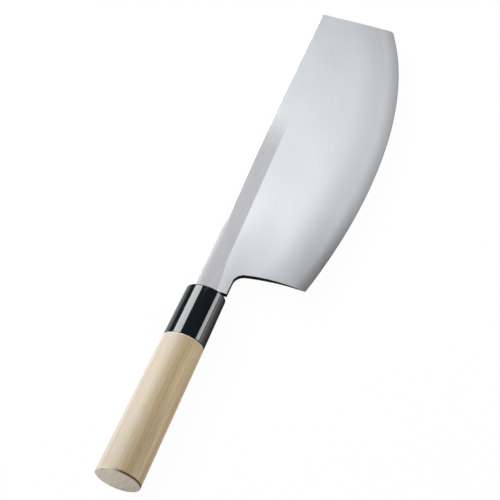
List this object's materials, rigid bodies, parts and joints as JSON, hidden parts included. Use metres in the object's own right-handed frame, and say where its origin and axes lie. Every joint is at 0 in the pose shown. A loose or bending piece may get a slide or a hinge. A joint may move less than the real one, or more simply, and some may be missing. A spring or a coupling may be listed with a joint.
{
  "type": "sushi knife",
  "caption": "Sushi knife with a round cutting edge, a blunt straight end, a blade ground on both faces, a black ferrule and an oval wooden handle.",
  "frame": {"origin": "centre of the handle's flat butt face", "axes": "+Y along the handle to the blade's blunt end, +X from the spine to the cutting edge, +Z out of the blade's right face"},
  "size_m": [0.0871, 0.4073, 0.0242],
  "materials": {
    "core_steel": "ground bright, hardened",
    "soft_iron": "satin, fine lengthwise and crosswise hairlines",
    "black_horn": "polished",
    "magnolia_wood": "bare, sanded smooth",
    "dark_resin": "poured, semi-gloss"
  },
  "bodies": {
    "root": {"blade_core": "core_steel", "right_cladding": "soft_iron", "left_cladding": "soft_iron", "ferrule": "black_horn", "handle": "magnolia_wood", "slot_plug": "dark_resin"}
  },
  "joints": []
}
